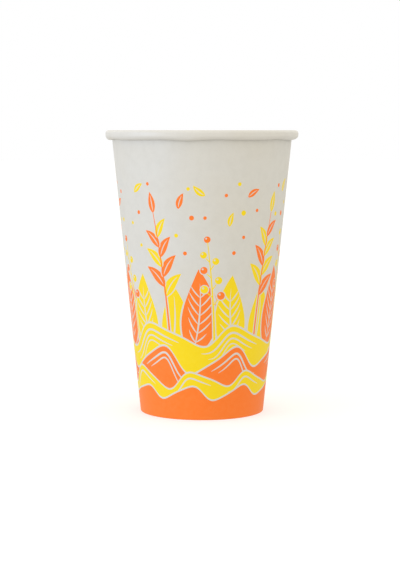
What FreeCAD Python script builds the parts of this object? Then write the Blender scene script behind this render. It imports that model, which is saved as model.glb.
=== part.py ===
# Tapered paper drinking cup, in millimetres, +Z up, standing on z = 0 with its axis on Z.
# It is two pieces of board: the sidewall, wrapped into a cone, lapped at one seam, curled
# outward at the rim and folded inward at the foot, and the base disc, drawn into a shallow
# tray whose skirt is gripped in that fold.
import FreeCAD, Part
import Sketcher
import math
import os

doc = FreeCAD.newDocument("paper_cup")

# Driving sizes
SIZES = {
    "cup_height": 132.0,        # table to the top of the rim
    "rim_diameter": 90.0,       # across the outside of the curled rim
    "base_diameter": 58.0,      # across the outside of the wall at the table
    "board": 0.40,              # sidewall board
    "base_board": 0.30,         # base disc board
    "shoulder_radius": 1.20,    # the curl's tighter bends, beside its band and the wall
    "crown_radius": 1.80,       # the curl's flatter top
    "band_height": 1.55,        # upright band of the rim
    "under_depth": 1.40,        # foot of that band to the underside of the curl
    "curl_gap": 0.15,           # between the curl's raw edge and the wall
    "hollow_corner": 0.60,      # cut across the corners of the hollow inside the curl
    "hem_height": 6.0,          # table to the raw edge of the folded foot
    "floor_height": 7.0,        # table to the underside of the base disc
    "skirt_clearance": 0.20,    # between the skirt's raw edge and the bottom of the fold
    "lap_width": 8.0,           # overlap of the side seam
    "lap_blend": 6.0,           # over which the board climbs onto the lap
}

sheet = doc.addObject("Spreadsheet::Sheet", "sizes")
for row, (alias, value) in enumerate(SIZES.items(), start=1):
    sheet.set(f"A{row}", alias)
    sheet.set(f"B{row}", str(value))
    sheet.setAlias(f"B{row}", alias)
doc.recompute()


def size(alias):
    """The value of a named size, read from the sheet."""
    return float(getattr(sheet, alias))


def point(radius, height):
    return FreeCAD.Vector(radius, height, 0)


def along(start, direction, length):
    """The point at that length from start, along a direction."""
    return start + FreeCAD.Vector(direction) * length


class Outline:
    """A sketch in a body, whose edges are named and follow each other round the outline."""

    # The sketcher's own numbers: an edge's points, counted up, and the two axes, counted down
    START, END, CENTRE = range(1, 4)
    X_AXIS, Y_AXIS = range(-1, -3, -1)
    ORIGIN = X_AXIS, START

    def __init__(self, body, name, role):
        self.sketch = body.newObject("Sketcher::SketchObject", name)
        planes = body.Origin.OriginFeatures
        plane = next(p for p in planes if p.Role == role)
        self.sketch.AttachmentSupport = (plane, [""])
        self.sketch.MapMode = "FlatFace"
        self.edges = {}

    def line(self, name, start, end):
        index = self.sketch.addGeometry(Part.LineSegment(start, end))
        self.edges[name] = (index, self.START, self.END)

    def arc(self, name, centre, start, end, clockwise=False):
        """An arc from start to end. The sketcher stores every arc counterclockwise."""
        radius = (start - centre).Length
        first, last = (end, start) if clockwise else (start, end)
        angles = [math.atan2(p.y - centre.y, p.x - centre.x) for p in (first, last)]
        if angles[1] < angles[0]:
            angles[1] += 2 * math.pi
        circle = Part.Circle(centre, FreeCAD.Vector(0, 0, 1), radius)
        index = self.sketch.addGeometry(Part.ArcOfCircle(circle, *angles))
        ends = (self.END, self.START) if clockwise else (self.START, self.END)
        self.edges[name] = (index, *ends)

    def edge(self, name):
        return self.edges[name][0]

    def start(self, name):
        return self.edges[name][0], self.edges[name][1]

    def end(self, name):
        return self.edges[name][0], self.edges[name][2]

    def centre(self, name):
        return self.edges[name][0], self.CENTRE

    def rule(self, kind, *references):
        """A constraint with no size of its own."""
        return self.sketch.addConstraint(Sketcher.Constraint(kind, *references))

    def size(self, name, kind, *references, value, formula):
        """A named constraint whose value follows a formula in the sheet's sizes."""
        index = self.rule(kind, *references, value)
        self.sketch.renameConstraint(index, name)
        self.sketch.setExpression(f"Constraints.{name}", formula)

    def measured(self, name, kind, *references, value):
        """A named size that is read off the solved sketch, for formulas elsewhere."""
        index = self.rule(kind, *references, value)
        self.sketch.setDriving(index, False)
        self.sketch.renameConstraint(index, name)

    def smooth(self, *names):
        """Each edge runs tangent into the next."""
        for before, after in zip(names, names[1:]):
            self.rule("Tangent", *self.end(before), *self.start(after))

    def corner(self, *names):
        """Each edge meets the next at a corner."""
        for before, after in zip(names, names[1:]):
            self.rule("Coincident", *self.end(before), *self.start(after))

    def checked(self):
        doc.recompute()
        if self.sketch.solve() != 0 or not self.sketch.FullyConstrained:
            raise ValueError(f"{self.sketch.Name} is not fully constrained")
        return self.sketch


def turned(body, outline, name):
    """The outline turned all the way round the cup's axis."""
    turn = body.newObject("PartDesign::Revolution", name)
    turn.Profile = outline.checked()
    turn.ReferenceAxis = (outline.sketch, ["V_Axis"])
    turn.Angle = 360
    outline.sketch.Visibility = False
    return turn


board, base_board = size("board"), size("base_board")
EIGHTH = 45.0  # degrees that each bend of the curl turns through, the last one a little less


def cut_rules(out, name, before, after, alias):
    """A cut across a corner takes the same off both neighbours, measured square to each."""
    off = {"value": size(alias), "formula": f"sizes.{alias}"}
    out.size(f"{name}_start", "Distance", *out.start(name), out.edge(after), **off)
    out.size(f"{name}_end", "Distance", *out.end(name), out.edge(before), **off)


def toe_rules(out, name, radius, formula):
    """Ties an outline's slanted edge to the radius where its line meets the table."""
    toe = out.sketch.addGeometry(Part.Point(point(radius, 0)), True), out.START
    out.rule("PointOnObject", *toe, out.X_AXIS)
    out.rule("PointOnObject", *toe, out.edge(name))
    out.size("toe", "DistanceX", *out.ORIGIN, *toe, value=radius, formula=formula)


class Wall:
    """The wall's lean and its points. The sketches start from them, and their constraints
    then hold them to the sheet."""

    def __init__(self, lean):
        self.lean = lean
        self.out = point(math.cos(lean), -math.sin(lean))
        self.across = board / math.cos(lean)

    def at(self, offset, height):
        """The point at that height, at that offset from the wall's outer face."""
        foot = size("base_diameter") / 2
        return point(foot + (offset + height * math.sin(self.lean)) / math.cos(self.lean), height)


def wall_profile(body):
    """The section of the sidewall board: wall, rim curl and folded foot. The curl's top is
    four bends, and nothing sees the hollow inside it, which is drawn with straight sides."""
    out = Outline(body, "wall_profile", "XZ_Plane")
    rim, top = size("rim_diameter") / 2, size("cup_height")
    shoulder, crown, corner = size("shoulder_radius"), size("crown_radius"), size("hollow_corner")
    near = math.cos(math.radians(EIGHTH))
    width, rise = shoulder * (1 - near) + crown * near, shoulder * near + crown * (1 - near)
    band_top = top - rise
    band_foot = band_top - size("band_height")
    bottom = band_foot - size("under_depth")
    roof, ledge, hidden = top - board, bottom + board, rim - board
    lean = math.atan2(rim - 2 * width + board - size("base_diameter") / 2, band_top)
    wall = Wall(lean)

    crown_centre = point(rim - width, top - crown)
    outer_centre, inner_centre = point(rim - shoulder, band_top), point(0, band_top)
    inner_centre.x = wall.at(shoulder - board, band_top).x
    low_centre = point(rim - shoulder, band_foot)
    outer_joint = crown_centre + point(crown * near, crown * near)
    inner_joint = crown_centre + point(-crown * near, crown * near)
    low_joint = low_centre + point(shoulder * near, -shoulder * near)
    keel = point(low_joint.x - (low_joint.y - bottom), bottom)
    hollow_start, hollow_roof = wall.at(0, roof - corner), wall.at(corner, roof)
    tail_top, tail_foot = wall.at(size("curl_gap"), ledge), wall.at(size("curl_gap"), bottom)
    wall_top = wall.at(-board, band_top)
    fold_out, fold_in = wall.at(-board, board), wall.at(-board - base_board, board)
    hem_top = wall.at(-board - base_board, size("hem_height"))
    hem_raw = along(hem_top, wall.out, -board)
    hem_foot = wall.at(-2 * board - base_board, 0)

    out.line("wall_outside", wall.at(0, 0), hollow_start)
    out.line("hollow_inner", hollow_start, hollow_roof)
    out.line("hollow_roof", hollow_roof, point(hidden - corner, roof))
    out.line("hollow_outer", point(hidden - corner, roof), point(hidden, roof - corner))
    out.line("band_hidden", point(hidden, roof - corner), point(hidden, ledge + corner))
    out.line("hollow_under", point(hidden, ledge + corner), point(hidden - corner, ledge))
    out.line("hollow_floor", point(hidden - corner, ledge), tail_top)
    out.line("curl_edge", tail_top, tail_foot)
    out.line("curl_under", tail_foot, keel)
    out.line("keel", keel, low_joint)
    out.arc("low_shoulder", low_centre, low_joint, point(rim, band_foot))
    out.line("band", point(rim, band_foot), point(rim, band_top))
    out.arc("outer_shoulder", outer_centre, point(rim, band_top), outer_joint)
    out.arc("outer_crown", crown_centre, outer_joint, point(rim - width, top))
    out.arc("inner_crown", crown_centre, point(rim - width, top), inner_joint)
    out.arc("inner_shoulder", inner_centre, inner_joint, wall_top)
    out.line("wall_inside", wall_top, fold_out)
    out.line("fold", fold_out, fold_in)
    out.line("hem_outside", fold_in, hem_top)
    out.line("hem_edge", hem_top, hem_raw)
    out.line("hem_inside", hem_raw, hem_foot)
    out.line("foot_ring", hem_foot, wall.at(0, 0))

    out.corner(*list(out.edges)[:list(out.edges).index("keel") + 1])
    out.smooth("keel", "low_shoulder", "band", "outer_shoulder", "outer_crown")
    out.corner("outer_crown", "inner_crown")
    out.smooth("inner_crown", "inner_shoulder", "wall_inside")
    out.corner("wall_inside", "fold", "hem_outside", "hem_edge", "hem_inside", "foot_ring",
               "wall_outside")
    out.rule("Coincident", *out.centre("inner_crown"), *out.centre("outer_crown"))
    for name in ("hollow_roof", "hollow_floor", "curl_under", "fold", "foot_ring"):
        out.rule("Horizontal", out.edge(name))
    for name in ("band", "band_hidden"):
        out.rule("Vertical", out.edge(name))
    for name in ("wall_inside", "curl_edge", "hem_outside", "hem_inside"):
        out.rule("Parallel", out.edge(name), out.edge("wall_outside"))

    out.rule("PointOnObject", *out.start("wall_outside"), out.X_AXIS)
    out.size("toe", "DistanceX", *out.ORIGIN, *out.start("wall_outside"),
             value=size("base_diameter") / 2, formula="sizes.base_diameter / 2")
    out.size("wall_board", "Distance", *out.end("wall_inside"), out.edge("wall_outside"),
             value=board, formula="sizes.board")
    out.size("fold_width", "Distance", *out.start("hem_outside"), out.edge("wall_inside"),
             value=base_board, formula="sizes.base_board")
    out.size("hem_board", "Distance", *out.end("hem_inside"), out.edge("hem_outside"),
             value=board, formula="sizes.board")
    out.size("fold_level", "DistanceY", *out.ORIGIN, *out.start("fold"),
             value=board, formula="sizes.board")
    out.size("hem_level", "DistanceY", *out.ORIGIN, *out.start("hem_edge"),
             value=hem_top.y, formula="sizes.hem_height")
    out.rule("Perpendicular", out.edge("hem_edge"), out.edge("hem_outside"))

    out.size("rim_reach", "DistanceX", *out.ORIGIN, *out.start("band"),
             value=rim, formula="sizes.rim_diameter / 2")
    out.size("rim_level", "DistanceY", *out.ORIGIN, *out.end("outer_crown"),
             value=top, formula="sizes.cup_height")
    out.size("band_length", "Distance", out.edge("band"),
             value=size("band_height"), formula="sizes.band_height")
    out.size("shoulder", "Radius", out.edge("outer_shoulder"),
             value=shoulder, formula="sizes.shoulder_radius")
    out.size("crown", "Radius", out.edge("outer_crown"),
             value=crown, formula="sizes.crown_radius")
    out.rule("Vertical", *out.end("outer_crown"), *out.centre("outer_crown"))
    for name in ("inner_shoulder", "low_shoulder"):
        out.rule("Equal", out.edge(name), out.edge("outer_shoulder"))
    for name in ("outer_shoulder", "inner_crown", "low_shoulder"):
        out.rule("Angle", out.edge(name), math.radians(EIGHTH))
    out.size("under", "DistanceY", *out.start("keel"), *out.start("band"),
             value=size("under_depth"), formula="sizes.under_depth")

    out.size("roof_level", "DistanceY", *out.ORIGIN, *out.start("hollow_roof"),
             value=roof, formula="sizes.cup_height - sizes.board")
    out.size("hidden_reach", "DistanceX", *out.ORIGIN, *out.start("band_hidden"),
             value=hidden, formula="sizes.rim_diameter / 2 - sizes.board")
    out.size("ledge_board", "DistanceY", *out.start("curl_under"), *out.start("curl_edge"),
             value=board, formula="sizes.board")
    out.size("gap", "Distance", *out.start("curl_edge"), out.edge("wall_outside"),
             value=size("curl_gap"), formula="sizes.curl_gap")
    cut_rules(out, "hollow_inner", "wall_outside", "hollow_roof", "hollow_corner")
    cut_rules(out, "hollow_outer", "hollow_roof", "band_hidden", "hollow_corner")
    cut_rules(out, "hollow_under", "band_hidden", "hollow_floor", "hollow_corner")

    out.measured("slope", "Angle", out.edge("wall_outside"), value=math.pi / 2 - lean)
    out.measured("wall_top", "DistanceY", *out.ORIGIN, *out.start("wall_inside"), value=band_top)
    out.measured("band_foot", "DistanceY", *out.ORIGIN, *out.start("band"), value=band_foot)
    return out


# Sizes measured off the solved section, for formulas: the wall's angle above the table, the
# board's width across the wall, where the wall ends inside and where the rim's band starts
SLOPE = "wall_profile.Constraints.slope"
BOARD_ACROSS = f"sizes.board / sin({SLOPE})"
WALL_TOP = "wall_profile.Constraints.wall_top / 1 mm"
BAND_FOOT = "wall_profile.Constraints.band_foot / 1 mm"
RAW_EDGE_AT = 90.0  # degrees round the cup: the seam's outer raw edge lies on +Y


def wall_radius(level):
    """The formula for the wall's outer radius at a level, itself a formula."""
    return f"(sizes.base_diameter / 2 + ({level}) / tan({SLOPE}))"


def polar(radius, degrees):
    return point(radius * math.cos(math.radians(degrees)), radius * math.sin(math.radians(degrees)))


def section(body, name, level, height):
    """An empty level sketch, at a level which is a formula with that height now."""
    out = Outline(body, name, "XY_Plane")
    out.sketch.AttachmentOffset = FreeCAD.Placement(
        FreeCAD.Vector(0, 0, height), FreeCAD.Rotation())
    out.sketch.setExpression("AttachmentOffset.Base.z", level)
    return out


def lap_section(body, wall, name, level, height):
    """The outer layer of the lap: a raw edge, the layer, and the climb onto it. Its inner side
    is sunk halfway into the board beneath."""
    out = section(body, name, level, height)
    radius = wall.at(0, height).x
    sunk, proud = radius - wall.across / 2, radius + wall.across
    lap = math.degrees(size("lap_width") / radius)
    reach = lap + math.degrees(size("lap_blend") / radius)
    centre = point(0, 0)
    out.line("raw_edge", polar(sunk, RAW_EDGE_AT), polar(proud, RAW_EDGE_AT))
    out.arc("layer", centre, polar(proud, RAW_EDGE_AT), polar(proud, RAW_EDGE_AT + lap))
    out.line("climb", polar(proud, RAW_EDGE_AT + lap), polar(sunk, RAW_EDGE_AT + reach))
    out.arc("sunk", centre, polar(sunk, RAW_EDGE_AT + reach), polar(sunk, RAW_EDGE_AT), True)
    out.corner(*out.edges, "raw_edge")
    for arc in ("layer", "sunk"):
        out.rule("Coincident", *out.centre(arc), *out.ORIGIN)
    out.rule("PointOnObject", *out.start("raw_edge"), out.Y_AXIS)
    out.rule("PointOnObject", *out.end("raw_edge"), out.Y_AXIS)
    turn = f"/ {wall_radius(level)} * 180 / pi"
    out.size("proud", "Radius", out.edge("layer"),
             value=proud, formula=f"{wall_radius(level)} + {BOARD_ACROSS}")
    out.size("sunk_radius", "Radius", out.edge("sunk"),
             value=sunk, formula=f"{wall_radius(level)} - {BOARD_ACROSS} / 2")
    out.size("lap", "Angle", out.edge("layer"),
             value=math.radians(lap), formula=f"sizes.lap_width {turn}")
    out.size("reach", "Angle", out.edge("sunk"),
             value=math.radians(reach), formula=f"(sizes.lap_width + sizes.lap_blend) {turn}")
    return out.checked()


def groove_section(body, wall, name, level, height):
    """The hollow on the drink side, beyond the inner layer's raw edge, where the board climbs
    out to become the lap's outer layer."""
    out = section(body, name, level, height)
    radius = wall.at(0, height).x
    clear = radius - 1.5 * wall.across
    edge_at = RAW_EDGE_AT + math.degrees(size("lap_width") / radius)
    climb = math.degrees(size("lap_blend") / radius)
    out.line("inner_edge", polar(clear, edge_at), polar(radius, edge_at))
    out.line("climb", polar(radius, edge_at), polar(clear, edge_at + climb))
    out.arc("inside", point(0, 0), polar(clear, edge_at + climb), polar(clear, edge_at), True)
    out.corner(*out.edges, "inner_edge")
    out.rule("Coincident", *out.centre("inside"), *out.ORIGIN)
    out.rule("PointOnObject", *out.ORIGIN, out.edge("inner_edge"))
    turn = f"/ {wall_radius(level)} * 180 / pi"
    out.size("edge_angle", "Angle", out.edge("inner_edge"), value=math.radians(edge_at),
             formula=f"{RAW_EDGE_AT} + sizes.lap_width {turn}")
    out.size("edge_reach", "Distance", *out.ORIGIN, *out.end("inner_edge"),
             value=radius, formula=wall_radius(level))
    out.size("inside_radius", "Radius", out.edge("inside"),
             value=clear, formula=f"{wall_radius(level)} - 1.5 * {BOARD_ACROSS}")
    out.size("climb_angle", "Angle", out.edge("inside"),
             value=math.radians(climb), formula=f"sizes.lap_blend {turn}")
    return out.checked()


def lofted(body, kind, name, low, high):
    """A straight loft from the lower section to the upper one."""
    loft = body.newObject(f"PartDesign::{kind}", name)
    loft.Profile = low
    loft.Sections = [high]
    loft.Ruled = True
    low.Visibility = high.Visibility = False


def make_sidewall():
    """The wrapped board, and the wall as the solved section places it."""
    body = doc.addObject("PartDesign::Body", "sidewall")
    body.Label = "sidewall"
    outline = wall_profile(body)
    turned(body, outline, "wall_turn")
    doc.recompute()
    slope = math.radians(outline.sketch.getDatum("slope").Value)
    wall_top = outline.sketch.getDatum("wall_top").Value
    band_foot = outline.sketch.getDatum("band_foot").Value
    wall = Wall(math.pi / 2 - slope)

    lap_low = lap_section(body, wall, "lap_low", "0", 0.0)
    lap_high = lap_section(body, wall, "lap_high", BAND_FOOT, band_foot)
    lofted(body, "AdditiveLoft", "seam_lap", lap_low, lap_high)
    floor_top = size("floor_height") + base_board
    groove_low = groove_section(
        body, wall, "groove_low", "sizes.floor_height + sizes.base_board", floor_top)
    groove_high = groove_section(body, wall, "groove_high", WALL_TOP, wall_top)
    lofted(body, "SubtractiveLoft", "seam_groove", groove_low, groove_high)
    return body, wall


def make_base_disc(wall):
    """The tray: a flat floor, and a skirt that lies between the wall and the hem."""
    body = doc.addObject("PartDesign::Body", "base_disc")
    body.Label = "base_disc"
    out = Outline(body, "tray_profile", "XZ_Plane")
    floor, level = size("floor_height"), size("floor_height") + base_board
    skirt_foot = wall.at(-board, board + size("skirt_clearance"))
    skirt_foot_inside = along(skirt_foot, wall.out, -base_board)
    inner_corner = wall.at(-board - base_board, floor)
    out.line("floor_top", point(0, level), wall.at(-board, level))
    out.line("skirt_outside", wall.at(-board, level), skirt_foot)
    out.line("skirt_edge", skirt_foot, skirt_foot_inside)
    out.line("skirt_inside", skirt_foot_inside, inner_corner)
    out.line("floor_under", inner_corner, point(0, floor))
    out.line("axis", point(0, floor), point(0, level))
    out.corner(*out.edges, "floor_top")

    for name in ("floor_top", "floor_under"):
        out.rule("Horizontal", out.edge(name))
    out.rule("PointOnObject", *out.start("axis"), out.Y_AXIS)
    out.rule("PointOnObject", *out.end("axis"), out.Y_AXIS)
    out.size("floor_level", "DistanceY", *out.ORIGIN, *out.start("axis"),
             value=floor, formula="sizes.floor_height")
    out.size("floor_board", "Distance", out.edge("axis"),
             value=base_board, formula="sizes.base_board")
    toe_rules(out, "skirt_outside", wall.at(-board, 0).x,
              f"sizes.base_diameter / 2 - {BOARD_ACROSS}")
    out.rule("Parallel", out.edge("skirt_outside"), out.edge("skirt_inside"))
    out.size("slope", "Angle", out.edge("skirt_inside"),
             value=math.pi / 2 - wall.lean, formula=SLOPE)
    out.size("skirt_board", "Distance", *out.start("skirt_inside"), out.edge("skirt_outside"),
             value=base_board, formula="sizes.base_board")
    out.rule("Perpendicular", out.edge("skirt_edge"), out.edge("skirt_outside"))
    out.size("skirt_level", "DistanceY", *out.ORIGIN, *out.start("skirt_edge"),
             value=skirt_foot.y, formula="sizes.board + sizes.skirt_clearance")
    turned(body, out, "tray_turn")
    return body


sidewall, wall = make_sidewall()
bodies = [sidewall, make_base_disc(wall)]
doc.recompute()

for thing in doc.Objects:
    if "Invalid" in thing.State or "Error" in thing.State:
        raise ValueError(f"{thing.Label} failed: {thing.State}")
os.makedirs("parts", exist_ok=True)
for body in bodies:
    shape = body.Shape
    if shape.isNull() or not shape.isValid() or not shape.Solids:
        raise ValueError(f"{body.Label} is not a valid solid")
    shape.exportStep(f"parts/{body.Label}.step")
    box = shape.optimalBoundingBox()
    print(body.Label, len(shape.Solids), "solid,", len(shape.Faces), "faces,",
          f"{shape.Volume:.1f} mm3, z {box.ZMin:.3f} to {box.ZMax:.3f},",
          f"x {box.XMin:.3f} to {box.XMax:.3f}, y {box.YMin:.3f} to {box.YMax:.3f}")
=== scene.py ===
import math

import bmesh
import bpy
import numpy as np
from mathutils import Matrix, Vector
from mathutils.geometry import delaunay_2d_cdt


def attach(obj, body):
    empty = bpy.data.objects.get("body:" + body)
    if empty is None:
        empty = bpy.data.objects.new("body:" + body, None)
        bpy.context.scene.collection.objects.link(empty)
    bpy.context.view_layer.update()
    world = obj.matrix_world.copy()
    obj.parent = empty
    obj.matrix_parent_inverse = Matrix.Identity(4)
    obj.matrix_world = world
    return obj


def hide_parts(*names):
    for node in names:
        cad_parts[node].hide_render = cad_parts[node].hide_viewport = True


# Sizes in millimetres, as in the CAD model. Meshes are scaled to metres when they are made.
MM = 0.001
TOP = 132.0
RIM = 44.99            # a hair inside the CAD box
FOOT = 29.0
BOARD = 0.40
BASE_BOARD = 0.30
SHOULDER, CROWN = 1.20, 1.80   # radii of the rolled rim's shoulders and top
BAND_TOP = 130.624     # the rim's straight outer band, on which a lid sits, ends here
BAND_FOOT = 129.80      # where the band starts to roll in under the rim
UNDERSIDE = 127.674    # of the rolled rim
CURL_GAP = 0.15        # from the roll's raw edge to the wall
HEM_TOP = 6.0
FLOOR_UNDER = 7.0
FLOOR_TOP = 7.3
LEAN = math.atan2(13.15147, 130.62426)
LAP = 8.0              # width of the side seam's overlap
CLIMB = 6.0            # over which the board climbs onto the overlap
SEAM, FRONT = 90.0, 270.0      # degrees round the cup: +Y at the back and -Y, which the camera sees
COLUMNS = 252

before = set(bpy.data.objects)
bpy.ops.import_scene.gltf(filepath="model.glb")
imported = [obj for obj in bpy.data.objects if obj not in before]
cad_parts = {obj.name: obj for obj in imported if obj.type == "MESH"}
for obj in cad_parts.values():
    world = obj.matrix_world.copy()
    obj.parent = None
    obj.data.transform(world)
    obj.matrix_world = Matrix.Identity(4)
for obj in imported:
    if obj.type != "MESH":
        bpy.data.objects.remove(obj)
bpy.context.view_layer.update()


def look_at_cup():
    """The camera at the photograph's place: level with the rim and tipped down a little."""
    data = bpy.data.cameras.new("camera")
    data.sensor_width, data.lens = 36.0, 101.12
    data.clip_start, data.clip_end = 0.02, 20.0
    camera = bpy.data.objects.new("camera", data)
    camera.location = (-0.00090, -0.75138, 0.13215)
    camera.rotation_euler = (math.radians(90.0 - 5.536), 0.0, 0.0)
    bpy.context.scene.collection.objects.link(camera)
    bpy.context.scene.camera = camera


look_at_cup()


# The wall's own geometry

def wall_radius(height, inward=0.0):
    """Radius of the wall at a height, that far inside its outer face, measured square to it."""
    return FOOT + (height * math.sin(LEAN) - inward) / math.cos(LEAN)


def smooth_step(t):
    t = np.clip(t, 0.0, 1.0)
    return t * t * (3.0 - 2.0 * t)


def climb_share(past, full):
    """1 on the overlap and 0 past the climb, by the distance past a raw edge."""
    return 1.0 - smooth_step((past - full) / CLIMB)


def arc(cx, cz, radius, start, end, count):
    """Points on an arc, by angle in degrees from +r towards +z."""
    a = np.radians(np.linspace(start, end, count))
    return np.column_stack([cx + radius * np.cos(a), cz + radius * np.sin(a)])


def run(start, end, count):
    t = np.linspace(0.0, 1.0, count)[:, None]
    return np.array(start) * (1 - t) + np.array(end) * t


def up_wall(inward, heights):
    return np.array([(wall_radius(z, inward), z) for z in heights])


def sideways(path, by=1.0):
    """The steps that move a path sideways, to the left of its direction."""
    d = np.gradient(path, axis=0)
    return by * np.column_stack([-d[:, 1], d[:, 0]]) / np.linalg.norm(d, axis=1)[:, None]


class Mesh:
    """Faces in millimetres, each corner with its place in the bake map."""

    def __init__(self):
        self.points, self.faces, self.places, self.slots, self.count = [], [], [], [], 0

    def add(self, points, places, faces, slots):
        """Faces index the points given here, and places has one row for each point."""
        faces = np.asarray(faces)
        self.points.append(points)
        self.faces.extend((faces + self.count).tolist())
        self.places.append(np.asarray(places)[faces].reshape(-1, 2))
        self.slots.extend(np.broadcast_to(slots, len(faces)).tolist())
        self.count += len(points)

    def build(self, name, materials, sharp=32.0):
        mesh = bpy.data.meshes.new(name)
        mesh.from_pydata((np.concatenate(self.points) * MM).tolist(), [], self.faces)
        layer = mesh.uv_layers.new(name="OFBake")
        layer.data.foreach_set("uv", np.concatenate(self.places).astype(np.float32).ravel())
        for material in materials:
            mesh.materials.append(material)
        mesh.polygons.foreach_set("material_index", self.slots)
        bm = bmesh.new()
        bm.from_mesh(mesh)
        bmesh.ops.remove_doubles(bm, verts=bm.verts, dist=1e-6)
        bmesh.ops.dissolve_degenerate(bm, edges=bm.edges, dist=1e-7)
        bmesh.ops.recalc_face_normals(bm, faces=bm.faces)
        bm.to_mesh(mesh)
        bm.free()
        mesh.shade_smooth()
        mesh.set_sharp_from_angle(angle=math.radians(sharp))
        piece = bpy.data.objects.new(name, mesh)
        bpy.context.scene.collection.objects.link(piece)
        return piece


# The printed design: rolling hills, sprigs and loose leaves, drawn on the wall laid flat

WHITE, ORANGE, YELLOW = 0, 1, 2
LOW, HIGH = 0.5, 128.9     # heights between which the wall's outer face is laid flat
PER_DEGREE = 0.63          # millimetres to a degree on the flat layout
VEIN_WIDTH, VEIN_SPREAD = 0.62, 38.0       # millimetres, and degrees from the middle of the leaf
STEM_FOOT = 30.0           # height at which leaves and stems start, behind the hills


def placed(degrees, height, outline):
    """An outline in millimetres round a point of the wall, as degrees and heights."""
    z = height + outline[:, 1]
    return np.column_stack([degrees + np.degrees(outline[:, 0] / wall_radius(z)), z])


def turned(outline, degrees):
    c, s = math.cos(math.radians(degrees)), math.sin(math.radians(degrees))
    return outline @ np.array([[c, s], [-s, c]])


def ribbon(spine, half_width):
    """The outline round a curve whose half width varies along it."""
    side = sideways(spine, np.asarray(half_width)[:, None])
    return np.concatenate([spine + side, (spine - side)[::-1]])


def leaf(length, width, bend=0.0, grow=0.0, start=0.0, end=1.0):
    """A leaf, or a stroke along its middle, along +x and pointed at both ends."""
    t = np.linspace(start, end, 22)
    spine = np.column_stack([length * t, bend * 4.0 * t * (1.0 - t)])
    u = (t - start) / (end - start)
    return ribbon(spine, 0.5 * width * np.sin(np.pi * u ** 0.8) ** 0.9 + grow + 0.02)


def disc(radius):
    a = np.linspace(0.0, 2 * np.pi, int(14 + 6 * radius), endpoint=False)
    return radius * np.column_stack([np.cos(a), np.sin(a)])


def hill_line(base, rise, times, phase, skew):
    """Height of a row of leaning hills at each angle in degrees."""
    def height(degrees):
        a = np.radians(degrees) * times + phase
        b = np.radians(degrees) * (times - 2) + 2.1 * phase
        hills = 0.5 + 0.5 * np.sin(a + skew * np.sin(a))
        return base + rise * hills + 0.12 * rise * np.sin(b)
    return height


def crests(line):
    """The angles at which a row of hills is highest."""
    degrees = np.arange(SEAM - 20.0, SEAM + 380.0, 0.25)
    z = line(degrees)
    return degrees[1:-1][(z[1:-1] > z[:-2]) & (z[1:-1] >= z[2:])]


def field_under(line, above=0.0):
    degrees = np.linspace(SEAM - 4.0, SEAM + 364.0, 740)
    top = np.column_stack([degrees, line(degrees) + above])
    return np.concatenate([top, [[SEAM + 364.0, -6.0], [SEAM - 4.0, -6.0]]])


def contour(line, middle, half, drop, width):
    """A stroke that follows a row of hills to both sides of an angle, tapered to its ends."""
    degrees = np.linspace(middle - half, middle + half, int(2.5 * half) + 8)
    t = np.linspace(0.0, 1.0, len(degrees))
    z = line(degrees)
    slope = np.gradient(z, degrees * PER_DEGREE)
    spine = np.column_stack([degrees * PER_DEGREE, z - drop * np.sqrt(1.0 + slope ** 2)])
    return ribbon(spine, 0.5 * width * np.sin(np.pi * t) ** 0.6 + 0.03) / (PER_DEGREE, 1.0)


def draw_leaf(shapes, degrees, height, root, way, length, wide, bend, colour, rib, halo, veins=0):
    """A leaf with a bare line along its middle, and veins to both sides of it on a large one."""
    outlines = [(colour, leaf(length, wide, bend)),
                (WHITE, leaf(length, rib, bend, 0.01, 0.10, 0.84))]
    if halo:
        outlines.insert(0, (WHITE, leaf(length, wide, bend, halo)))
    for k in range(veins):
        t = 0.16 + 0.62 * k / veins
        at = (length * t, bend * 4.0 * t * (1.0 - t))
        lean = math.degrees(math.atan2(bend * 4.0 * (1.0 - 2.0 * t), length))
        reach = 0.60 * wide * math.sin(math.pi * t ** 0.8) ** 0.9
        for side in (-1, 1):
            vein = leaf(reach, VEIN_WIDTH, side * 0.05 * reach)
            outlines.append((WHITE, turned(vein, lean + side * VEIN_SPREAD) + at))
    for shade, outline in outlines:
        shapes.append((shade, placed(degrees, height, turned(outline, way) + root)))


def stem_of(height, sway):
    """The line of a stem and the way it points, in degrees, all along it."""
    t = np.linspace(0.0, 1.0, 30)
    stem = np.column_stack([sway * t ** 1.8, height * t])
    return t, stem, np.degrees(np.arctan2(*np.gradient(stem, axis=0).T[::-1]))


def sprig(shapes, degrees, foot, height, sway, leaves, size, colours):
    """A stem with leaves to both sides of it in turn and one at its tip."""
    t, stem, leaning = stem_of(height, sway)
    shapes.append((WHITE, placed(degrees, foot, ribbon(stem, 1.10 - 0.60 * t))))
    for k in range(leaves + 1):
        share = 0.42 + 0.51 * k / leaves
        i, side = int(share * 29), (1 if k % 2 else -1)
        length = size * (1.16 - 0.56 * share)
        way, bend = leaning[i] + side * (48 - 16 * share), side * length * -0.09
        if k == leaves:
            i, length, way, bend = 29, size * 0.66, leaning[-1], sway * 0.03
        draw_leaf(shapes, degrees, foot, stem[i], way, length, length * 0.36, bend,
                  colours[1] if k % 3 else colours[2], 0.42, 0.50)
    shapes.append((colours[0], placed(degrees, foot, ribbon(stem, 0.52 - 0.34 * t))))


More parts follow.
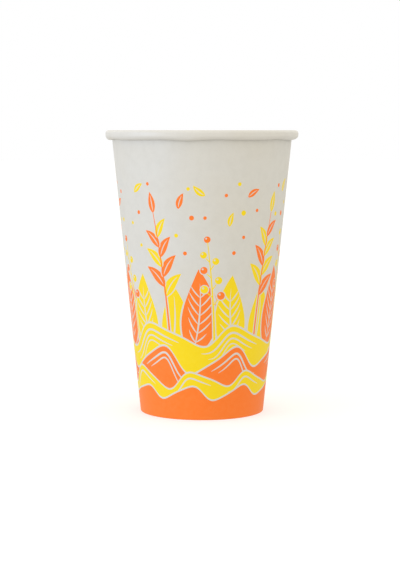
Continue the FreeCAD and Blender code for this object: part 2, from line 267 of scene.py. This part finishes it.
def berry_stem(shapes, degrees, foot, height, sway, berries, size, colours):
    """A stem with round berries on short stalks, each with a bare glint."""
    t, stem, leaning = stem_of(height, sway)
    shapes.append((WHITE, placed(degrees, foot, ribbon(stem, 1.10 - 0.60 * t))))
    for k in range(berries + 1):
        share = 0.46 + 0.46 * k / berries
        i, side = int(share * 29), (1 if k % 2 else -1)
        way, reach = leaning[i] + side * (52 - 20 * share), size * (3.4 - 1.6 * share)
        if k == berries:
            i, way, reach = 29, leaning[-1], 0.6 * size
        s = np.linspace(0.0, 1.0, 8)
        stalk = turned(reach * np.column_stack([s, 0.10 * side * s * (1.0 - s)]), way) + stem[i]
        radius = size * (1.0 - 0.32 * share)
        glint = stalk[-1] + (-0.34 * radius, 0.34 * radius)
        for shade, outline in ((colours[0], ribbon(stalk, np.full(8, 0.22))),
                               (WHITE, disc(radius + 0.45) + stalk[-1]),
                               (colours[1] if k % 3 else colours[2], disc(radius) + stalk[-1]),
                               (WHITE, disc(0.27 * radius) + glint)):
            shapes.append((shade, placed(degrees, foot, outline)))
    shapes.append((colours[0], placed(degrees, foot, ribbon(stem, 0.52 - 0.34 * t))))


GAP = 36                   # degrees between one broad leaf and the next, and between stems
FRONT_LEAF, FRONT_STEM = -8, 10
BROAD_LEAVES = [
    # lean and length of each leaf in front, from the front of the cup round to the right
    (-5, 40), (5, 37), (-3, 40), (4, 38), (-5, 39), (4, 37), (-4, 40), (5, 38), (-4, 39), (5, 37),
]
STEMS = [
    # how it is drawn, height, sway, leaves or berries, size; colours of the stem and what it bears
    ("berry", 52, -4, 6, 2.1, "YYO"), ("leaf", 65, 6, 7, 14.5, "OYO"),
    ("berry", 54, -5, 6, 2.1, "YOY"), ("leaf", 63, 4, 7, 14.5, "OOY"),
    ("berry", 51, 5, 6, 2.1, "YYO"), ("leaf", 66, -5, 7, 14.5, "OYO"),
    ("berry", 54, 4, 6, 2.1, "YOY"), ("leaf", 62, 6, 7, 14.0, "OYO"),
    ("berry", 51, -5, 6, 2.1, "YYO"), ("leaf", 65, -6, 7, 14.5, "OOY"),
]
LEAF, DOT = True, False
DRIFTING = [
    # above each broad leaf: degrees from it, height, leaf or dot, length or radius, way it points, colour
    [(-8, 97, LEAF, 7.5, 70, "O"), (3, 84, LEAF, 6.5, 30, "Y"), (10, 103, LEAF, 7.0, 140, "Y"),
     (-10, 85, DOT, 0.9, 0, "Y"), (1, 93, DOT, 1.1, 0, "O"), (-1, 106, DOT, 0.8, 0, "Y"),
     (10, 93, DOT, 0.8, 0, "O"), (-4, 77, DOT, 0.9, 0, "O"), (8, 80, DOT, 0.8, 0, "Y")],
    [(-9, 89, LEAF, 6.5, 75, "Y"), (4, 102, LEAF, 7.0, 30, "O"), (-12, 103, DOT, 0.8, 0, "O"),
     (1, 95, DOT, 1.2, 0, "Y"), (2, 84, DOT, 0.8, 0, "O"), (-5, 77, DOT, 0.9, 0, "O"),
     (-3, 108, DOT, 0.9, 0, "Y"), (12, 96, DOT, 0.8, 0, "O")],
    [(2, 82, LEAF, 6.5, 110, "O"), (5, 104, LEAF, 7.0, 60, "Y"), (-9, 100, LEAF, 6.5, 150, "O"),
     (-3, 94, DOT, 1.0, 0, "Y"), (7, 94, DOT, 1.2, 0, "O"), (-2, 107, DOT, 0.9, 0, "O"),
     (12, 99, DOT, 0.9, 0, "Y"), (-3, 77, DOT, 0.8, 0, "O")],
    [(-2, 97, LEAF, 7.0, 30, "O"), (4, 83, LEAF, 6.0, 120, "Y"), (-12, 102, DOT, 1.0, 0, "Y"),
     (-6, 86, DOT, 0.8, 0, "O"), (9, 104, DOT, 0.9, 0, "O"), (9, 91, DOT, 1.0, 0, "Y"),
     (1, 77, DOT, 0.8, 0, "Y"), (-1, 108, DOT, 0.8, 0, "O"), (2, 91, DOT, 0.8, 0, "Y")],
    [(-7, 104, LEAF, 7.0, 35, "Y"), (3, 85, LEAF, 7.0, 100, "O"), (-4, 95, DOT, 0.9, 0, "O"),
     (4, 98, DOT, 1.1, 0, "Y"), (6, 108, DOT, 0.8, 0, "O"), (-4, 80, DOT, 0.8, 0, "Y"),
     (11, 94, DOT, 0.9, 0, "O"), (-12, 90, DOT, 0.8, 0, "Y")],
]
ROOM = 1.4                 # least distance from a stem to what drifts above it, in millimetres
INK = {"O": ORANGE, "Y": YELLOW}
HILLS = [
    # base, rise, times round, phase, skew, colour, white outline, contour strokes (drop, width, reach)
    (33.0, 11.0, 5, 0.4, 0.50, YELLOW, 0.9, ((2.8, 0.9, 0.36), (5.4, 0.7, 0.28), (7.8, 0.5, 0.18))),
    (22.0, 11.0, 6, 2.2, -0.50, ORANGE, 0.9, ((2.8, 0.9, 0.36), (5.2, 0.7, 0.26))),
    (14.5, 8.0, 7, 0.9, 0.45, YELLOW, 0.8, ((2.4, 0.7, 0.34),)),
    (9.5, 5.5, 8, 3.0, -0.45, ORANGE, 0.8, ()),
]


def broad_leaf(shapes, front, lean, length, colour, veins):
    draw_leaf(shapes, FRONT + front, STEM_FOOT, (0.0, 0.0), 90.0 + lean, length, 0.40 * length,
              0.05 * length * math.copysign(1.0, lean), colour, 0.7, 0.8, veins)


def drift(shapes, front, table, drawn):
    """Leaves and dots above the stems, without those that would touch what is drawn."""
    for aside, height, is_leaf, size, way, ink in table:
        degrees, piece = FRONT + front + aside, []
        if is_leaf:
            draw_leaf(piece, degrees, height, (0.0, 0.0), way, size, 0.4 * size, 0.07 * size,
                      INK[ink], 0.36, 0.0)
        else:
            piece.append((INK[ink], placed(degrees, height, disc(size))))
        apart = (piece[0][1][:, None] - drawn) * (PER_DEGREE, 1.0)
        if np.hypot(apart[..., 0], apart[..., 1]).min() > ROOM:
            shapes += piece


def design():
    """The print as (colour, outline), the lowest first, in degrees and heights. What crosses the
    seam is drawn at both ends."""
    shapes, half = [], 180 // GAP
    fronts = [(k, GAP * k) for k in range(-half, half + 1)]
    for k, front in fronts:
        broad_leaf(shapes, front + FRONT_STEM, -4 if k % 2 else 4, 33.0, (ORANGE, YELLOW)[k % 2], 0)
    for k, front in fronts:
        lean, length = BROAD_LEAVES[k]
        broad_leaf(shapes, front + FRONT_LEAF, lean, length, (ORANGE, YELLOW)[k % 2], 6)
    for k, front in fronts:
        kind, height, sway, count, size, inks = STEMS[k]
        draw = {"leaf": sprig, "berry": berry_stem}[kind]
        draw(shapes, FRONT + front + FRONT_STEM, STEM_FOOT, height, sway, count, size,
             [INK[i] for i in inks])
    drawn = np.concatenate([outline for _, outline in shapes])
    for k, front in fronts:
        drift(shapes, front + FRONT_LEAF, DRIFTING[k % len(DRIFTING)], drawn)
    for base, rise, times, phase, skew, colour, outline, strokes in HILLS:
        line = hill_line(base, rise, times, phase, skew)
        shapes.append((WHITE, field_under(line, outline)))
        shapes.append((colour, field_under(line)))
        for crest in crests(line):
            for drop, width, reach in strokes:
                shapes.append((WHITE, contour(line, crest, reach * 360.0 / times, drop, width)))
    return shapes


def inside(points, outline):
    """Which points lie inside a closed outline."""
    hit = np.zeros(len(points), bool)
    near = np.flatnonzero(((points >= outline.min(0)) & (points <= outline.max(0))).all(1))
    x0, y0 = outline.T
    x1, y1 = np.roll(x0, -1), np.roll(y0, -1)
    for first in range(0, len(near), 4000):
        some = near[first:first + 4000]
        x, y = points[some, 0][:, None], points[some, 1][:, None]
        crosses = (y0 > y) != (y1 > y)
        with np.errstate(divide="ignore", invalid="ignore"):
            at = x0 + (y - y0) * (x1 - x0) / (y1 - y0)
        hit[some] = (crosses & (x < at)).sum(1) % 2 == 1
    return hit


def triangles_of(points, edges):
    """Triangles of a flat layout that keep its edges, with the points that crossings add."""
    found = delaunay_2d_cdt([Vector(p) for p in points.tolist()], edges, [], 0, 1e-5, False)
    return np.array([(p.x, p.y) for p in found[0]]), np.array(found[2])


def within(flat, faces, grid):
    centres = flat[faces].mean(1)
    return ((centres > grid.min(0)) & (centres < grid.max(0))).all(1)


def painted(flat, faces, shapes):
    centres = flat[faces].mean(1)
    colours = np.full(len(faces), WHITE)
    for colour, outline in shapes:
        colours[inside(centres, outline)] = colour
    return colours


def between_colours(flat, faces, colours):
    """The edges whose two triangles differ in colour."""
    sides = np.sort(np.concatenate([faces[:, [0, 1]], faces[:, [1, 2]], faces[:, [2, 0]]]), axis=1)
    owners = np.tile(colours, 3)
    order = np.lexsort((sides[:, 1], sides[:, 0]))
    sides, owners = sides[order], owners[order]
    return sides[1:][(sides[1:] == sides[:-1]).all(1) & (owners[1:] != owners[:-1])]


def print_layout():
    """The wall's outer face laid flat: points in degrees and heights, triangles and colours."""
    heights = np.linspace(LOW, HIGH, 40)
    turn = SEAM + np.linspace(0.0, 360.0, COLUMNS + 1)
    grid = np.array([(d * PER_DEGREE, z) for z in heights for d in turn])
    wide, tall = COLUMNS + 1, len(heights)
    border = [(row * wide + i, row * wide + i + 1) for row in (0, tall - 1) for i in range(COLUMNS)]
    border += [(k * wide + i, (k + 1) * wide + i) for i in (0, COLUMNS) for k in range(tall - 1)]
    shapes = [(colour, outline * (PER_DEGREE, 1.0)) for colour, outline in design()]

    points, edges, count = [grid], list(border), len(grid)
    for _, outline in shapes:
        points.append(outline)
        edges += [(count + i, count + (i + 1) % len(outline)) for i in range(len(outline))]
        count += len(outline)
    flat, faces = triangles_of(np.concatenate(points), edges)
    faces = faces[within(flat, faces, grid)]
    kept = between_colours(flat, faces, painted(flat, faces, shapes))
    used, index = np.unique(kept, return_inverse=True)
    index = index.reshape(-1, 2) + len(grid)
    flat, faces = triangles_of(np.concatenate([grid, flat[used]]), border + index.tolist())
    faces = faces[within(flat, faces, grid)]
    return flat / (PER_DEGREE, 1.0), faces, painted(flat, faces, shapes)


def outer_face(flat):
    """Points of the wall's outer face, with the seam's overlap standing proud."""
    degrees, height = flat.T
    radius = wall_radius(height)
    past = np.radians(degrees - SEAM) * radius
    radius = radius + BOARD / math.cos(LEAN) * climb_share(past, LAP)
    a = np.radians(degrees)
    return np.column_stack([radius * np.cos(a), radius * np.sin(a), height])


# The sidewall: wall, seam, rolled rim and folded foot

OUTSIDE, INK_ORANGE, INK_YELLOW, INSIDE, RAW = range(5)
TAIL = wall_radius(UNDERSIDE, -CURL_GAP)   # radius of the curl's raw edge
ARC_NEAR = math.cos(math.radians(45.0))


def curl_path():
    """The rolled rim's shown face, from the raw edge under it round to the wall inside."""
    outer = RIM - SHOULDER
    crown = RIM - SHOULDER * (1 - ARC_NEAR) - CROWN * ARC_NEAR
    roll = BAND_FOOT - UNDERSIDE
    return np.concatenate([
        run((TAIL, UNDERSIDE), (RIM - roll, UNDERSIDE), 5)[:-1],
        arc(RIM - roll, BAND_FOOT, roll, -90, 0, 17),
        run((RIM, BAND_FOOT), (RIM, BAND_TOP), 5)[1:-1],
        arc(outer, BAND_TOP, SHOULDER, 0, 45, 9),
        arc(crown, TOP - CROWN, CROWN, 45, 135, 20)[1:-1],
        arc(wall_radius(BAND_TOP, BOARD - SHOULDER), BAND_TOP, SHOULDER,
            135, 180 - math.degrees(LEAN), 10),
    ])


def section():
    """The section's rows past the laid-out face: round the hollow of the curl, back along its
    shown face, down inside, round the hem and back to the foot."""
    shown = curl_path()
    hem_face, hem_in = BOARD + BASE_BOARD, 2 * BOARD + BASE_BOARD
    parts = [
        ("roof", run((wall_radius(HIGH), HIGH), (wall_radius(130.4), 130.4), 6), INSIDE),
        ("hollow", (shown + sideways(shown, BOARD))[::-1], INSIDE),
        ("curl", shown, INSIDE),
        ("inside", up_wall(BOARD, np.linspace(130.4, 6.9, 44)), INSIDE),
        ("tuck", up_wall(BOARD, (5.4, 4.2, 3.0, 1.8, 0.6)), INSIDE),
        ("hem", np.concatenate([up_wall(BOARD + 0.04, [0.42]), up_wall(hem_face - 0.04, [0.42]),
                                up_wall(hem_face, (0.6, 1.8, 3.0, 4.2, HEM_TOP - 0.03))]), INSIDE),
        ("hem", up_wall(hem_face + 0.05, [HEM_TOP]), RAW),
        ("hem", up_wall(hem_in - 0.05, [HEM_TOP - 0.01]), RAW),
        ("hem", up_wall(hem_in, np.linspace(HEM_TOP - 0.06, 3.0, 8)), OUTSIDE),
        ("hem", up_wall(hem_in, np.linspace(2.6, 0.5, 6)), INK_ORANGE),
        ("foot", np.array([(wall_radius(z, inward), z) for z, inward in (
            (0.26, hem_in - 0.03), (0.10, hem_in - 0.12), (0.02, hem_in - 0.26),
            (0.0, hem_in - 0.42), (0.0, 0.46), (0.02, 0.28), (0.10, 0.13), (0.26, 0.03),
            (LOW, 0.0))]), INK_ORANGE),
    ]
    names = [name for name, path, _ in parts for _ in path]
    slots = [slot for _, path, slot in parts for _ in path]
    return np.concatenate([path for _, path, _ in parts]), names, slots


def lower_edge(degrees):
    """How far the curl's lower edge wanders up and down round the rim."""
    a = np.radians(degrees - FRONT)
    return (-0.17 * np.cos(9 * (a + math.radians(9.0))) - 0.07 * np.cos(4 * a + 0.6)
            - 0.06 * np.cos(14 * a + 2.0))


def carried_round(rows, names):
    """Each row of the section carried round the cup. On the inside the seam's raw edge lies
    the overlap's width further round than on the outside."""
    turn = np.linspace(0.0, 360.0, COLUMNS + 1)
    into_board = sideways(rows)
    place = {name: names.index(name) for name in names}
    grid = []
    for i, ((r, z), name) in enumerate(zip(rows, names)):
        share = (i - place[name] + 1) / (names.count(name) + 1)
        skew = {"hollow": smooth_step(share), "curl": 1.0, "inside": 1.0, "tuck": 1.0 - share}
        degrees = SEAM + turn + skew.get(name, 0.0) * math.degrees(LAP / r)
        past = np.radians(turn) * r
        proud = BOARD / math.cos(LEAN) * climb_share(np.radians(degrees - SEAM) * r, LAP)
        depth = {"curl": 0.20, "inside": BOARD * smooth_step((z - FLOOR_TOP + 0.2) / 0.5)}
        dip = depth.get(name, 0.0) * climb_share(past, 0.0)
        radius, height = r + into_board[i, 0] * dip, z + into_board[i, 1] * dip
        if name == "roof":
            radius = radius + proud * smooth_step((130.2 - z) / 1.0)
        if name == "foot":
            radius = radius + proud * smooth_step((r - (FOOT - 0.75)) / 0.4)
        if name in ("hollow", "curl") and z < BAND_FOOT:
            radius = radius + proud * smooth_step((TAIL + 1.5 - r) / 1.4)
            height = height + lower_edge(degrees) * smooth_step(
                (BAND_FOOT - z) / (BAND_FOOT - UNDERSIDE))
        a = np.radians(degrees)
        grid.append(np.column_stack([radius * np.cos(a), radius * np.sin(a), height]))
    return np.array(grid)


# The bake map: the bands of the print, of the rest of the section and of the seam's raw edges
MAP_SIDES = (0.002, 0.998)
PRINT_BAND, SECTION_BAND = (0.440, 0.996), (0.022, 0.430)
OUTER_EDGE_BAND, INNER_EDGE_BAND = (0.003, 0.009), (0.012, 0.018)


def on_map(band, share):
    return band[0] + (band[1] - band[0]) * share


def add_strip(made, left, right, band):
    """The seam's raw edge between two chains of points, in a strip of the bake map."""
    points = np.concatenate([left, right])
    steps, i, j, faces = len(left), 0, 0, []
    while i < len(left) - 1 or j < len(right) - 1:
        on_left = i < len(left) - 1 and (
            j == len(right) - 1 or (i + 1) / len(left) <= (j + 1) / len(right))
        if on_left:
            faces.append((i, i + 1, steps + j))
            i += 1
        else:
            faces.append((i, steps + j + 1, steps + j))
            j += 1
    along = np.concatenate([np.linspace(*MAP_SIDES, len(side)) for side in (left, right)])
    across = np.repeat(band, [len(left), len(right)])
    made.add(points, np.column_stack([along, across]), faces, RAW)


# How much of the bake map each stretch of the section gets for its length
BAKE_WEIGHT = {"roof": 0.3, "hollow": 0.3, "curl": 3.0, "inside": 1.0, "tuck": 0.3, "hem": 0.8,
               "foot": 2.0}


def make_sidewall(materials):
    made = Mesh()
    flat, faces, colours = print_layout()
    share = (flat[:, 0] - SEAM) / 360.0
    rise = (flat[:, 1] - LOW) / (HIGH - LOW)
    places = np.column_stack([on_map(MAP_SIDES, share), on_map(PRINT_BAND, rise)])
    points = outer_face(flat)
    made.add(points, places, faces, colours)
    ends = []
    for at in (SEAM, SEAM + 360.0):
        side = np.flatnonzero(np.abs(flat[:, 0] - at) < 1e-4)
        ends.append(points[side[np.argsort(flat[side, 1])]])
    add_strip(made, *ends, OUTER_EDGE_BAND)

    rows, names, slots = section()
    grid = carried_round(rows, names)
    steps = np.linalg.norm(np.diff(rows, axis=0), axis=1)
    steps = np.concatenate([[0.0], steps * [BAKE_WEIGHT[n] for n in names[1:]]])
    rise = on_map(SECTION_BAND, np.cumsum(steps) / steps.sum())
    tall, wide = grid.shape[:2]
    share = np.linspace(*MAP_SIDES, wide)
    places = np.stack(np.meshgrid(share, rise), -1)
    index = np.arange(tall * wide).reshape(tall, wide)
    quads = np.stack([index[:-1, :-1], index[:-1, 1:], index[1:, 1:], index[1:, :-1]], -1)
    made.add(grid.reshape(-1, 3), places.reshape(-1, 2), quads.reshape(-1, 4),
             np.repeat(slots[1:], wide - 1))
    add_strip(made, grid[:, 0], grid[:, -1], INNER_EDGE_BAND)
    return made.build("sidewall_board", materials)


def make_base(materials):
    """The base disc: a shallow tray whose skirt goes down into the hem."""
    inner, outer = BOARD + BASE_BOARD - 0.01, BOARD + 0.012
    bend = 0.7
    corner = wall_radius(FLOOR_TOP - bend, outer)
    low = wall_radius(FLOOR_UNDER - 0.4, inner)
    path = np.concatenate([
        [(0.0, FLOOR_TOP)], run((0.6, FLOOR_TOP), (corner - bend - 0.8, FLOOR_TOP), 14),
        arc(corner - bend, FLOOR_TOP - bend, bend, 90, 4, 9),
        up_wall(outer, (5.8, 4.6, 3.4, 2.2, 1.2, 0.68)),
        up_wall(outer + 0.05, [0.62]), up_wall(inner - 0.05, [0.62]),
        up_wall(inner, (0.68, 1.2, 2.2, 3.4, 4.6, 5.8, 6.3)),
        arc(low - 0.4, FLOOR_UNDER - 0.4, 0.4, 4, 90, 7),
        run((low - 1.2, FLOOR_UNDER), (0.6, FLOOR_UNDER), 14), [(0.0, FLOOR_UNDER)],
    ])
    made = Mesh()
    degrees = np.linspace(0.0, 360.0, COLUMNS + 1)
    a = np.radians(degrees)
    r, z = path[:, 0][:, None], path[:, 1][:, None]
    grid = np.stack([r * np.cos(a), r * np.sin(a), np.broadcast_to(z, (len(path), len(a)))], -1)
    half = len(path) // 2
    tall, wide = grid.shape[:2]
    index = np.arange(tall * wide).reshape(tall, wide)
    quads = np.stack([index[:-1, :-1], index[:-1, 1:], index[1:, 1:], index[1:, :-1]], -1)
    # both faces of the tray are laid out as round maps, and the skirt as rings round them
    steps = np.concatenate([[0.0], np.linalg.norm(np.diff(path, axis=0), axis=1)])
    length = np.cumsum(steps)
    out = np.where(np.arange(tall) <= half, length, length[-1] - length)
    out = out / out.max() * 0.245
    side = np.where(np.arange(tall) <= half, 0.25, 0.75)
    places = np.stack([side[:, None] + out[:, None] * np.cos(a), 0.5 + out[:, None] * np.sin(a)], -1)
    faces = quads.reshape(-1, 4)
    row_of = faces[:, 0] // wide
    first = row_of < half
    made.add(grid.reshape(-1, 3), places.reshape(-1, 2), faces[first], 0)
    shifted = places.copy()
    shifted[half] = np.stack([0.75 + out[half] * np.cos(a), 0.5 + out[half] * np.sin(a)], -1)
    made.add(grid.reshape(-1, 3), shifted.reshape(-1, 2), faces[~first], 0)
    return made.build("base_board_disc", materials)


# Materials

class Material:
    """A node material whose nodes are added by type, with their inputs by name."""

    def __init__(self, name):
        self.material = bpy.data.materials.new(name)
        self.material.use_nodes = True
        self.tree = self.material.node_tree
        self.tree.nodes.clear()

    def node(self, kind, values=None, **settings):
        made = self.tree.nodes.new("ShaderNode" + kind)
        for key, value in settings.items():
            setattr(made, key, value)
        for key, value in (values or {}).items():
            if isinstance(value, bpy.types.NodeSocket):
                self.tree.links.new(value, made.inputs[key])
            else:
                made.inputs[key].default_value = value
        return made

    def noise(self, place, scale, detail=3.0, roughness=0.55):
        made = self.node("TexNoise", {"Vector": place, "Scale": scale, "Detail": detail,
                                      "Roughness": roughness})
        return made.outputs[0]

    def spread(self, value, low, high, to_low, to_high):
        made = self.node("MapRange", {0: value, 1: low, 2: high, 3: to_low, 4: to_high})
        return made.outputs[0]

    def mix(self, share, a, b, blend="MIX"):
        made = self.node("Mix", {0: share, 6: a, 7: b}, data_type="RGBA", blend_type=blend)
        return made.outputs[2]

    def place(self, stretch=(1.0, 1.0, 1.0)):
        there = self.node("TexCoord").outputs["Object"]
        return self.node("Mapping", {"Vector": there, "Scale": stretch}).outputs[0]

    def bump(self, height, strength, distance, under=None):
        values = {"Height": height, "Strength": strength, "Distance": distance}
        if under is not None:
            values["Normal"] = under
        return self.node("Bump", values).outputs[0]

    def finish(self, **inputs):
        shader = self.node("BsdfPrincipled", {k.replace("_", " "): v for k, v in inputs.items()})
        out = self.node("OutputMaterial")
        self.tree.links.new(shader.outputs[0], out.inputs[0])
        return self.material


def rgb(r, g, b):
    return (r, g, b, 1.0)


ALONG_THE_GRAIN = (1.0, 1.0, 0.40)         # fibres are drawn out along the height of the cup
DRIFT_TINT, FIBRE_TINT = (1.0, 0.985, 0.955), rgb(0.955, 0.95, 0.94)
CLOUD_TINT = rgb(0.970, 0.9694, 0.967)


def relief(m, even, fibres, strength):
    """The slight unevenness of the wall, with fibres on it."""
    waves = m.bump(m.noise(even, 55.0, 2.0), 0.35, 0.00035)
    return m.bump(fibres, strength, 0.00004, waves)


def paper(name, colour, rough, fibre=1.0, gloss=0.5):
    """Board: cloudy formation, fibres along the board's grain, and a slightly uneven gloss."""
    m = Material(name)
    even, grain = m.place(), m.place(ALONG_THE_GRAIN)
    cloud = m.noise(even, 260.0, 4.0, 0.6)
    drift = m.noise(even, 34.0, 2.0)
    fibres = m.noise(grain, 2600.0, 5.0, 0.65)
    tint = m.mix(m.spread(drift, 0.35, 0.65, 0.0, 1.0), rgb(*colour),
                 rgb(*(c * w for c, w in zip(colour, DRIFT_TINT))))
    tint = m.mix(m.spread(cloud, 0.42, 0.66, 0.0, 1.0), tint,
                 m.mix(1.0, tint, CLOUD_TINT, "MULTIPLY"))
    tint = m.mix(m.spread(fibres, 0.56, 0.78, 0.0, 0.55), tint,
                 m.mix(1.0, tint, FIBRE_TINT, "MULTIPLY"))
    normal = relief(m, even, fibres, 0.30 * fibre)
    return m.finish(Base_Color=tint, Roughness=m.spread(cloud, 0.3, 0.7, rough - 0.05, rough + 0.07),
                    Normal=normal, Specular_IOR_Level=gloss)


def ink(name, colour, light, rough):
    """Flat ink on that board: a little mottled, with pinholes where the fibres stand up."""
    m = Material(name)
    even, grain = m.place(), m.place(ALONG_THE_GRAIN)
    mottle = m.noise(even, 520.0, 4.0, 0.6)
    drift = m.noise(even, 40.0, 2.0)
    fibres = m.noise(grain, 2600.0, 5.0, 0.65)
    tint = m.mix(m.spread(mottle, 0.36, 0.70, 0.0, 0.32), rgb(*colour), rgb(*light))
    tint = m.mix(m.spread(drift, 0.35, 0.65, 0.0, 0.16), tint, rgb(*(c * 0.93 for c in colour)))
    tint = m.mix(m.spread(fibres, 0.66, 0.80, 0.0, 0.30), tint, rgb(*light))
    normal = relief(m, even, fibres, 0.20)
    return m.finish(Base_Color=tint, Roughness=m.spread(mottle, 0.3, 0.7, rough - 0.05, rough + 0.07),
                    Normal=normal, Specular_IOR_Level=0.30)


def raw_edge():
    """The cut edge of the board, where its plies and loose fibres show."""
    m = Material("board_cut_edge")
    even = m.place()
    fibres = m.noise(even, 3800.0, 5.0, 0.7)
    tint = m.mix(m.spread(fibres, 0.35, 0.65, 0.0, 1.0), rgb(0.66, 0.63, 0.56), rgb(0.76, 0.74, 0.69))
    return m.finish(Base_Color=tint, Roughness=0.9, Normal=m.bump(fibres, 0.5, 0.00008))


def dressed():
    outside = paper("board_outside", (0.680, 0.672, 0.637), 0.52)
    inside_face = paper("board_inside_coated", (0.700, 0.686, 0.648), 0.34, fibre=0.45, gloss=0.5)
    orange = ink("ink_orange", (1.0, 0.205, 0.020), (1.0, 0.270, 0.055), 0.46)
    yellow = ink("ink_yellow", (0.930, 0.690, 0.004), (0.940, 0.735, 0.030), 0.46)
    sidewall = make_sidewall([outside, orange, yellow, inside_face, raw_edge()])
    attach(sidewall, "root")
    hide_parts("sidewall")
    base = make_base([paper("board_base", (0.690, 0.678, 0.642), 0.38, fibre=0.7)])
    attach(base, "root")
    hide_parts("base_disc")


dressed()


# The studio: white floor, white surroundings and soft light

BELOW, ABOVE = 0.79, 1.05                                 # strength of the surroundings
COOL, WARM = (1.0, 0.985, 0.95), (1.0, 0.965, 0.89)       # their colour on the left and right


def make_floor():
    """Pale and plain. Light from below comes from the surroundings, so it throws none back."""
    bpy.ops.mesh.primitive_circle_add(vertices=96, radius=6.0, fill_type="NGON",
                                      location=(0.0, 0.0, -0.00004))
    floor = bpy.context.object
    floor.name = "studio_floor"
    m = Material("studio_floor")
    there = m.node("TexCoord").outputs["Object"]
    shade = m.spread(m.noise(there, 3.0, 2.0), 0.3, 0.7, 0.545, 0.555)
    grey = m.node("CombineColor", {0: shade, 1: shade, 2: shade}).outputs[0]
    m.finish(Base_Color=grey, Roughness=0.9, Specular_IOR_Level=0.2,
             Emission_Color=rgb(1.0, 1.0, 1.0), Emission_Strength=0.50)
    floor.data.materials.append(m.material)
    floor.visible_diffuse = floor.visible_glossy = floor.visible_transmission = False
    floor.visible_shadow = False


def soft_box(name, place, size, watts, colour):
    """A square light that faces the middle of the cup."""
    data = bpy.data.lights.new(name, "AREA")
    data.shape, data.size, data.energy, data.color = "SQUARE", size, watts, colour
    light = bpy.data.objects.new(name, data)
    light.location = place
    aim = Vector((0.0, 0.0, 0.07)) - Vector(place)
    light.rotation_euler = aim.to_track_quat("-Z", "Y").to_euler()
    bpy.context.scene.collection.objects.link(light)


def make_world():
    """Light from all round, cooler on the left, warmer on the right and dimmer from below, and
    plain white where the camera looks past the floor."""
    world = bpy.data.worlds.new("studio")
    world.use_nodes = True
    tree = world.node_tree
    tree.nodes.clear()

    def node(kind, *links, **values):
        made = tree.nodes.new("ShaderNode" + kind)
        for key, value in values.items():
            setattr(made, key, value)
        for index, value in links:
            if isinstance(value, bpy.types.NodeSocket):
                tree.links.new(value, made.inputs[index])
            else:
                made.inputs[index].default_value = value
        return made

    way = node("SeparateXYZ", (0, node("TexCoord").outputs["Generated"])).outputs
    side = node("MapRange", (0, way[0]), (1, -0.95), (2, 0.15)).outputs[0]
    lift = node("MapRange", (0, way[2]), (1, -0.12), (2, 0.25), (3, BELOW), (4, ABOVE)).outputs[0]
    tint = node("Mix", (0, side), (6, rgb(*COOL)), (7, rgb(*WARM)), data_type="RGBA").outputs[2]
    lit = node("Background", (0, tint), (1, lift))
    seen = node("Background", (0, rgb(1.0, 1.0, 1.0)), (1, 1.0))
    past = node("LightPath").outputs["Is Camera Ray"]
    mixed = node("MixShader", (0, past), (1, lit.outputs[0]), (2, seen.outputs[0]))
    node("OutputWorld", (0, mixed.outputs[0]))
    bpy.context.scene.world = world


make_floor()
make_world()
soft_box("key_left", (-1.45, -0.60, 0.32), 0.9, 7.0, (0.60, 0.73, 1.0))
soft_box("front_top", (0.10, -1.20, 0.80), 0.9, 1.5, (1.0, 0.975, 0.92))
bpy.context.scene.view_settings.view_transform = "Standard"
